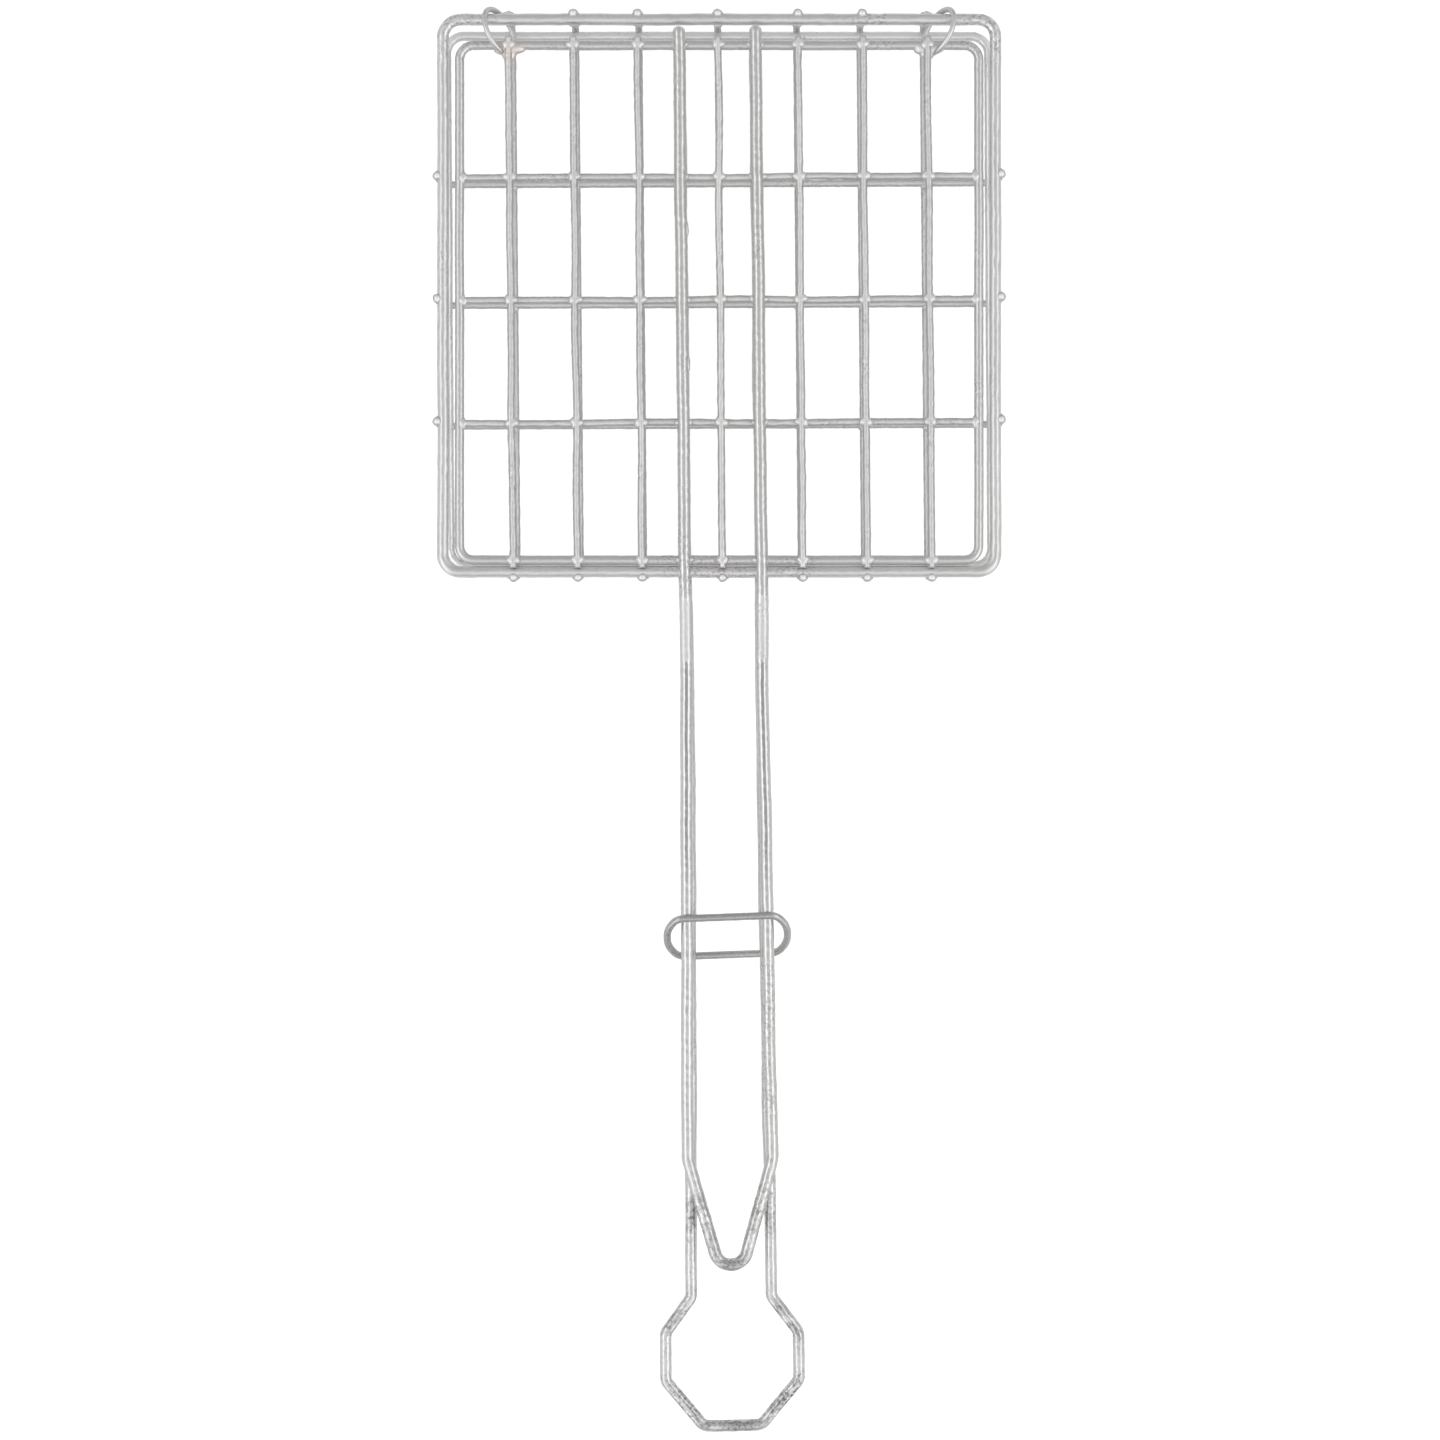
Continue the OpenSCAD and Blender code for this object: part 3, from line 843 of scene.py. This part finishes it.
@dataclass
class Lid:
    """The upper half: the lid's ring, its straight mesh, the handle and the hinge rings."""

    wires: Wires
    shape: HandleShape
    frame_finish: bpy.types.Material
    mesh_finish: bpy.types.Material
    handle_finish: bpy.types.Material
    hinge_finish: bpy.types.Material
    weld_finish: bpy.types.Material
    tongue_start: float = 367.6 * MM
    tongue_spacing: float = 36 * MM
    tongue_angle: float = math.radians(15.3)
    tongue_tip: float = 7.2 * MM
    hinge_spread: float = 10.6 * MM
    hinge_slant: float = 6.4 * MM
    drips: tuple[float, ...] = (208.8 * MM, 151.5 * MM)
    seed: int = 200

    def build(self) -> None:
        """Builds every piece of the lid."""
        self.ring()
        runs = self.mesh()
        self.handle()
        self.hinge_ring("hinge_ring_left", -1)
        self.hinge_ring("hinge_ring_right", 1)
        self.welds(*runs)

    def ring(self) -> None:
        """Builds the lid's ring."""
        w = self.wires
        path = ring_path(NodeBox.of("lid_ring"), w.ring, w.lid_bend, w.step)
        tube = WireTube(path, w.ring / 2, UP, closed=True, sides=24, wave=Wave(0.08 * MM))
        make_piece("plated_lid_ring", tube.surface(self.seed), self.frame_finish,
                   Body.LID, ["lid_ring"])

    def straight(self, node: str, along: int, seed: int) -> StraightRun:
        """Builds one straight mesh wire; along is 0 for X and 1 for Y."""
        w = self.wires
        box = NodeBox.of(node)
        reach = lean_of(box, along, w.mesh)
        reach[along] = box.half[along]
        path = rounded_path([box.centre - reach, box.centre + reach], [0, 0], w.step)
        tube = WireTube(path, w.mesh / 2, UP, sides=18, wave=Wave(0.25 * MM), lumps=0.045, swell=1.05)
        make_piece(f"plated_{node}", tube.surface(seed), self.mesh_finish,
                   Body.LID, [node])
        return StraightRun(box.centre, reach)

    def mesh(self) -> tuple[list[StraightRun], list[StraightRun]]:
        """Builds the mesh and returns the lines of its long and cross wires."""
        longs = [
            self.straight(f"lid_long_wire_{i + 1}", 1, self.seed + 10 + i)
            for i in range(self.wires.count)
        ]
        crosses = [
            self.straight(f"lid_cross_wire_{i + 1}", 0, self.seed + 20 + i)
            for i in range(self.wires.cross_count)
        ]
        return longs, crosses

    def handle(self) -> None:
        """Builds the upper handle with its narrow tongue."""
        w = self.wires
        h = self.shape
        box = NodeBox.of("lid_handle")
        high = box.high[2] - w.handle / 2
        grip = box.low[2] + w.handle / 2
        apex = self.tongue_start + self.tongue_spacing / 2 / math.tan(self.tongue_angle)
        half = [
            (-h.spacing / 2, h.far_end, high), (-h.spacing / 2, -h.crank_start, high),
            (-h.spacing / 2, -h.crank_end, grip), (-self.tongue_spacing / 2, -self.tongue_start, grip),
        ]
        bends = [0] + [h.crank_bend] * 3
        corners = half + [(0, -apex, grip)] + [(-x, y, z) for x, y, z in reversed(half)]
        path = rounded_path(h.placed(corners), bends + [self.tongue_tip] + bends[::-1], w.step)
        tube = WireTube(path, w.handle / 2, UP, sides=24, wave=Wave(0.2 * MM), end_dome=0.9, swell=1.07)
        make_piece("plated_lid_handle", tube.surface(self.seed + 30), self.handle_finish,
                   Body.LID, ["lid_handle"])

    def hinge_ring(self, node: str, side: int) -> None:
        """Builds one hinge ring, the plane oval o + a cos(t) + b sin(t)."""
        w = self.wires
        box = NodeBox.of(node)
        reach = box.half - w.hinge / 2
        a = np.array([side * self.hinge_slant / 2, reach[1], 0])
        b = np.array([side * self.hinge_spread / 2, 0, reach[2]])
        t = np.linspace(0, 2 * math.pi, 96, endpoint=False)[:, None]
        path = box.centre + a * np.cos(t) + b * np.sin(t)
        thick = 1.0 + 0.12 * ((1.0 + np.cos(t)) / 2) ** 5
        tube = WireTube(path, w.hinge / 2, unit(np.cross(a, b)), closed=True, sides=18,
                        wave=Wave(0.0), lumps=0.015, swell=thick)
        make_piece(f"plated_{node}", tube.surface(self.seed + 40 + side), self.hinge_finish,
                   Body.LID, [node])

    def welds(self, longs: list[StraightRun], crosses: list[StraightRun]) -> None:
        """Adds the beads of the mesh, the ring and the handle."""
        w = self.wires
        beads = Welds()
        ring = NodeBox.of("lid_ring")
        joint = ring.high[2] - 0.15 * MM
        over = NodeBox.of("lid_long_wire_1").centre[2]
        sides = [
            StraightRun(ring.centre + [0, sign * (ring.half[1] - w.ring / 2), 0], np.array([1.0, 0, 0]))
            for sign in (-1, 1)
        ]
        for line in longs:
            for other in crosses + sides:
                beads.add([*line.crossing(other), over - 0.1 * MM], (3.2, 3.2, 1.62), 0.24)
        for side in (-1, 1):
            leg = self.shape.leg(side)
            for other in crosses + sides:
                beads.add([*leg.crossing(other), joint], (4.3, 2.9, 1.5), 0.25)
        for cross in crosses:
            for sign in (-1, 1):
                end = cross.middle + sign * cross.reach
                beads.add([end[0] + sign * 0.3 * MM, end[1], end[2] + 0.2 * MM], (2.4, 3.0, 1.7), 0.25)
        for end in (longs[0], longs[-1]):
            spot = end.crossing(sides[1])
            beads.add([spot[0] + 0.3 * MM, spot[1] - 1.6 * MM, ring.centre[2] + 0.6 * MM], (6.3, 3.2, 2.3))
            beads.add([spot[0], spot[1] - 3.6 * MM, ring.centre[2] + 0.8 * MM], (3.4, 4.2, 2.0), 0.2)
        left = self.shape.leg(-1)
        for y in self.drips:
            x = left.middle[0] + left.reach[0] * (y - left.middle[1]) / left.reach[1]
            beads.add([x + w.handle * 0.46, y, NodeBox.of("lid_handle").high[2] - w.handle / 2], (1.0, 3.4, 1.4))
        make_piece("lid_welds", beads.surface(self.seed + 50), self.weld_finish,
                   Body.LID)


@dataclass
class Clip:
    """The oval clip that slides along both handles.

    Each end is half of an oval, and a quarter of the oval is two bends, whose corners
    are those of the octagon drawn round it.
    """

    wires: Wires
    shape: HandleShape
    finish: bpy.types.Material
    half_length: float = 25.7 * MM
    nose: float = 7.7 * MM
    reach: float = 17.2 * MM
    turn: float = math.radians(1.5)
    seed: int = 300

    def build(self) -> None:
        """Builds the clip, whose far side lies over the handles and near side under them."""
        w = self.wires
        box = NodeBox.of("slide_clip")
        angle = self.turn + self.shape.lean
        c, s = math.cos(angle), math.sin(angle)
        long_way = np.array([c, s, 0.0])
        far_way = np.array([-s * self.reach / 2, c * self.reach / 2, box.half[2] - w.clip / 2])
        half_width = float(np.linalg.norm(far_way))

        octagon = math.tan(math.pi / 8)
        shoulder = self.half_length - self.nose * (1 - octagon)
        shoulder_turn = math.atan2(half_width, self.nose)
        shoulder_bend = octagon * self.nose / math.tan(shoulder_turn / 2)
        nose_bend = (1 - octagon) / 2 * math.hypot(self.nose, half_width)
        nose_bend = nose_bend / math.tan((math.pi / 2 - shoulder_turn) / 2)
        half = [(-shoulder, 1.0), (-self.half_length, octagon), (-self.half_length, -octagon), (-shoulder, -1.0)]
        corners = [box.centre + x * long_way + y * far_way for x, y in half + [(-x, y) for x, y in half[::-1]]]
        bends = [shoulder_bend, nose_bend, nose_bend, shoulder_bend] * 2
        path = rounded_path(corners, bends, w.step / 2, closed=True)
        tube = WireTube(path, w.clip / 2, unit(np.cross(long_way, far_way)), closed=True,
                        sides=20, wave=Wave(0.05 * MM))
        make_piece("plated_slide_clip", tube.surface(self.seed), self.finish,
                   Body.CLIP, ["slide_clip"])


@dataclass
class Studio:
    """The floor, the lights and the camera."""

    camera_place: tuple[float, float, float] = (0.34 * MM, 0.7 * MM, 1510 * MM)
    seen_width: float = 612.8 * MM
    seen_height: float = 30 * MM
    sensor: float = 36.0
    floor_half: float = 4.0
    floor_grey: float = 0.5
    floor_glow: float = 0.80
    reflected_glow: float = 0.32
    drop: float = 1 * MM

    def build(self) -> None:
        """Builds the whole studio."""
        self.floor()
        self.world()
        self.lamps()
        self.camera()
        bpy.context.scene.view_settings.view_transform = "Standard"

    def floor(self) -> None:
        """Adds a pale floor, lifted to white for the camera outside the object's shadow."""
        r = self.floor_half
        mesh = bpy.data.meshes.new("floor")
        corners = [(-r, -r, -self.drop), (r, -r, -self.drop), (r, r, -self.drop), (-r, r, -self.drop)]
        mesh.from_pydata(corners, [], [(0, 1, 2, 3)])
        floor = bpy.data.objects.new("floor", mesh)
        bpy.context.scene.collection.objects.link(floor)
        material = bpy.data.materials.new("pale_floor")
        material.use_nodes = True
        shade = Shade(material.node_tree)
        rays = shade.node("ShaderNodeLightPath", {}, {})
        seen = Signal(shade, rays.outputs["Is Camera Ray"])
        mirrored = Signal(shade, rays.outputs["Is Glossy Ray"]) + Signal(
            shade, rays.outputs["Is Transmission Ray"]
        )
        grey = self.floor_grey
        glow = seen * self.floor_glow + mirrored * self.reflected_glow
        plain = shade.node("ShaderNodeBsdfDiffuse", {}, {"Color": (grey, grey, grey, 1.0)})
        light = shade.node("ShaderNodeEmission", {}, {"Strength": glow})
        both = shade.node("ShaderNodeAddShader", {}, {0: plain.outputs[0], 1: light.outputs[0]})
        shade.node("ShaderNodeOutputMaterial", {}, {"Surface": both.outputs[0]})
        mesh.materials.append(material)

    def world(self) -> None:
        """Adds a white surround with a pale band high at each side and a dark spot overhead.

        The object reflects the surround, so its levels are those that the photograph's
        wires show: paler towards the near side, and dark where the camera stood.
        """
        world = bpy.data.worlds.new("studio")
        bpy.context.scene.world = world
        world.use_nodes = True
        shade = Shade(world.node_tree)
        rays = shade.node("ShaderNodeLightPath", {}, {})
        way = shade.node("ShaderNodeTexCoord", {}, {}).outputs["Generated"]
        split = shade.node("ShaderNodeSeparateXYZ", {}, {0: way})
        x = Signal(shade, split.outputs[0])
        y = Signal(shade, split.outputs[1])
        z = Signal(shade, split.outputs[2])
        beside = x * x
        band = beside.above(0.10, 0.40) * (1.0 - beside.above(0.66, 0.92))
        below_camera = y + 0.017
        spot = z.above(0.86, 0.95) * (1.0 - (below_camera * below_camera).above(0.001, 0.006))
        low = 1.0 - z.above(0.12, 0.45)
        near = 1.0 - y.above(-0.22, 0.28) - (1.0 - y.above(-0.92, -0.72)) - 0.1 * y.above(0.35, 0.62)
        level = (0.72 + 0.30 * band - 0.10 * low) * (0.74 + 0.40 * near) * (1.0 - 0.3 * spot)
        seen = Signal(shade, rays.outputs["Is Camera Ray"])
        level = seen + (1.0 - seen) * level
        light = shade.node("ShaderNodeBackground", {}, {"Color": (1.0, 1.0, 1.0, 1.0), "Strength": level})
        shade.node("ShaderNodeOutputWorld", {}, {"Surface": light.outputs[0]})

    def lamps(self) -> None:
        """Adds a long soft lamp at each side."""
        self.lamp("left_lamp", (-1.15, 0.1, 1.35), 0.5, 1.5, 1.2)
        self.lamp("right_lamp", (1.2, 0.0, 1.3), 0.5, 1.5, 1.2)

    def lamp(self, name: str, place: tuple[float, float, float], width: float, length: float,
             power: float) -> None:
        """Adds one rectangular lamp that faces the middle of the object."""
        data = bpy.data.lights.new(name, "AREA")
        data.shape = "RECTANGLE"
        data.size = width
        data.size_y = length
        data.energy = power
        lamp = bpy.data.objects.new(name, data)
        lamp.visible_camera = False
        bpy.context.scene.collection.objects.link(lamp)
        back = unit(np.array(place))
        right = unit(np.cross(UP, back)) if abs(back[0]) < abs(back[1]) else unit(np.cross([0, 1.0, 0], back))
        over = np.cross(back, right)
        turned = np.eye(4)
        turned[:3] = np.stack([right, over, back, np.array(place)], axis=1)
        lamp.matrix_world = Matrix(turned.tolist())

    def camera(self) -> None:
        """Adds the camera straight above, with the photograph's field of view."""
        data = bpy.data.cameras.new("camera")
        data.sensor_width = self.sensor
        data.lens = self.sensor * (self.camera_place[2] - self.seen_height) / self.seen_width
        data.clip_end = 20.0
        camera = bpy.data.objects.new("camera", data)
        camera.location = self.camera_place
        bpy.context.scene.collection.objects.link(camera)
        bpy.context.scene.camera = camera


def main() -> None:
    """Builds the studio and the grid in order."""
    logging.basicConfig(level=logging.INFO, format="%(name)s: %(message)s")
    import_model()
    Studio().build()

    wires = Wires()
    rim = NodeBox.of("rim_ring")
    shape = HandleShape(middle=rim.centre)
    hinge = NodeBox.of("hinge_ring_left")
    hot = ((float(hinge.centre[0]) + 4 * MM, float(hinge.low[1]) + 2 * MM, float(hinge.centre[2])),)
    corners = tuple(
        (float(rim.centre[0] + side * rim.half[0]), float(rim.high[1]) - 6 * MM, float(rim.centre[2]))
        for side in (-0.93, 0.93)
    )
    # In the finishes below, the top highlight value is a painted highlight on the upward-facing side of each wire.
    rim_finish = PlatedWire("rim_wire", (0.82, 0.82, 0.825, 1.0), 0.32, mottling=0.05,
                            relief=0.35, heat_places=hot, worn_places=corners).material()
    # The bottom ring's colour is lifted lighter, with a stronger painted top highlight, to offset the shade it lies
    # in under the lid ring and rim: painted light.
    ring_finish_lifted_for_shade = PlatedWire("bottom_ring_wire_lifted_for_shade", (0.93, 0.93, 0.935, 1.0), 0.32, mottling=0.05,
                             top_highlight=0.2).material()
    lid_ring_finish = PlatedWire("lid_ring_wire", (0.74, 0.74, 0.745, 1.0), 0.30, mottling=0.05,
                                 relief=0.35, heat_places=hot, worn_places=corners).material()
    # The basket's mesh wire is the lid's mesh wire lifted lighter to offset the shade it lies in under the lid:
    # painted light.
    basket_mesh_finish_lifted_for_shade = PlatedWire("basket_mesh_wire_lifted_for_shade", (0.66, 0.66, 0.665, 1.0), 0.38, metal=0.7,
                                    top_highlight=0.30).material()
    lid_mesh_finish = PlatedWire("lid_mesh_wire", (0.58, 0.58, 0.585, 1.0), 0.36, metal=0.7, top_highlight=0.38,
                                 heat_places=hot).material()
    grip_height = float(NodeBox.of("basket_handle").high[2])
    # Places on the grips near which the handle wire is darkened in patches.
    handled = tuple(
        (x * MM, y * MM, grip_height)
        for x, y in ((-16, -256), (28, -256), (-15, -292), (28, -292), (6, -301), (5, -233), (-7, -212), (18, -208))
    )
    # The handle wire takes a painted dark streak of reflection along its top.
    handle_finish = PlatedWire("handle_wire", (0.77, 0.77, 0.775, 1.0), 0.22, mottling=0.07,
                               worn_places=handled, worn_reach=20 * MM, handled_darkening=0.26,
                               relief=0.16, painted_dark_streak=0.30).material()
    weld_finish = PlatedWire("weld_metal", (0.72, 0.72, 0.72, 1.0), 0.34, metal=0.7, top_highlight=0.22,
                             heat_places=hot).material()
    # The wire-end domes carry a strong painted highlight on top.
    dome_finish = PlatedWire("dome_metal", (0.68, 0.68, 0.68, 1.0), 0.45, metal=0.7, top_highlight=0.7,
                             relief=0.1).material()
    hinge_finish = PlatedWire("hinge_wire", (0.70, 0.70, 0.70, 1.0), 0.30, top_highlight=0.2, heat_places=hot).material()
    clip_finish = PlatedWire("clip_wire", (0.55, 0.55, 0.555, 1.0), 0.25, mottling=0.14).material()

    Basket(wires, shape, rim_finish, ring_finish_lifted_for_shade, basket_mesh_finish_lifted_for_shade, handle_finish, weld_finish,
           dome_finish).build()
    Lid(wires, shape, lid_ring_finish, lid_mesh_finish, handle_finish, hinge_finish, weld_finish).build()
    Clip(wires, shape, clip_finish).build()


if __name__ == "__main__":
    main()
